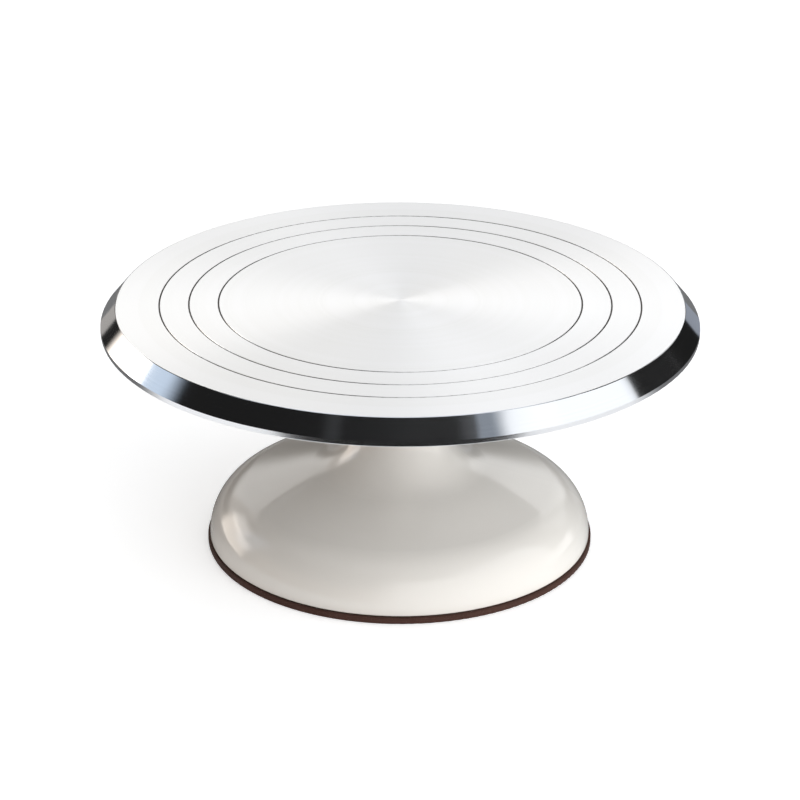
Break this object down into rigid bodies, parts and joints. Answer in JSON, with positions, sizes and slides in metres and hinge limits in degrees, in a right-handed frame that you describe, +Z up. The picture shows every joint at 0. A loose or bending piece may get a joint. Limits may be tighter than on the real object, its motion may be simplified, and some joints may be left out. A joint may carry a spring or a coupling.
{
  "type": "cake turntable",
  "caption": "Round turned-metal cake turntable with ring grooves and a bevelled rim, spinning on ball bearings in a hollow waisted pedestal that stands on a rubber ring.",
  "frame": {"origin": "centre of the standing face, on the axis of rotation", "axes": "+Z up along the axis of rotation; X and Y lie in the standing plane, and the part is round about Z"},
  "size_m": [0.305, 0.305, 0.133],
  "materials": {
    "turned_aluminium": "satin",
    "cream_enamel": "gloss",
    "brown_rubber": "matte",
    "machined_steel": "satin",
    "black_screw_steel": "satin",
    "bearing_steel": "polished",
    "spring_steel": "satin",
    "cage_nylon": "satin",
    "insert_nylon": "satin",
    "seal_rubber": "matte",
    "cap_plastic": "satin"
  },
  "bodies": {
    "base": {"pedestal": "cream_enamel", "foot_ring": "brown_rubber", "end_cap": "cap_plastic", "retaining_ring": "spring_steel", "upper_bearing_outer_ring": "bearing_steel", "upper_bearing_seals": "seal_rubber", "lower_bearing_outer_ring": "bearing_steel", "lower_bearing_seals": "seal_rubber"},
    "turntable": {"top_plate": "turned_aluminium", "spindle": "machined_steel", "plate_screws": "black_screw_steel", "bearing_spacer": "machined_steel", "lock_washer": "machined_steel", "lock_nut": "machined_steel", "lock_nut_insert": "insert_nylon", "upper_bearing_inner_ring": "bearing_steel", "lower_bearing_inner_ring": "bearing_steel"},
    "upper_ball_set": {"upper_bearing_balls": "bearing_steel", "upper_bearing_cage": "cage_nylon"},
    "lower_ball_set": {"lower_bearing_balls": "bearing_steel", "lower_bearing_cage": "cage_nylon"}
  },
  "joints": [
    {"name": "plate_spin", "type": "hinge", "parent": "base", "child": "turntable", "pos_m": [0, 0, 0.1075], "axis": [0, 0, 1], "continuous": true},
    {"name": "upper_balls_spin", "type": "hinge", "parent": "base", "child": "upper_ball_set", "pos_m": [0, 0, 0.1075], "axis": [0, 0, 1], "continuous": true},
    {"name": "lower_balls_spin", "type": "hinge", "parent": "base", "child": "lower_ball_set", "pos_m": [0, 0, 0.057], "axis": [0, 0, 1], "continuous": true}
  ],
  "couplings": [
    {"joint": "upper_balls_spin", "follows": "plate_spin", "ratio": 0.3682},
    {"joint": "lower_balls_spin", "follows": "plate_spin", "ratio": 0.3682}
  ]
}
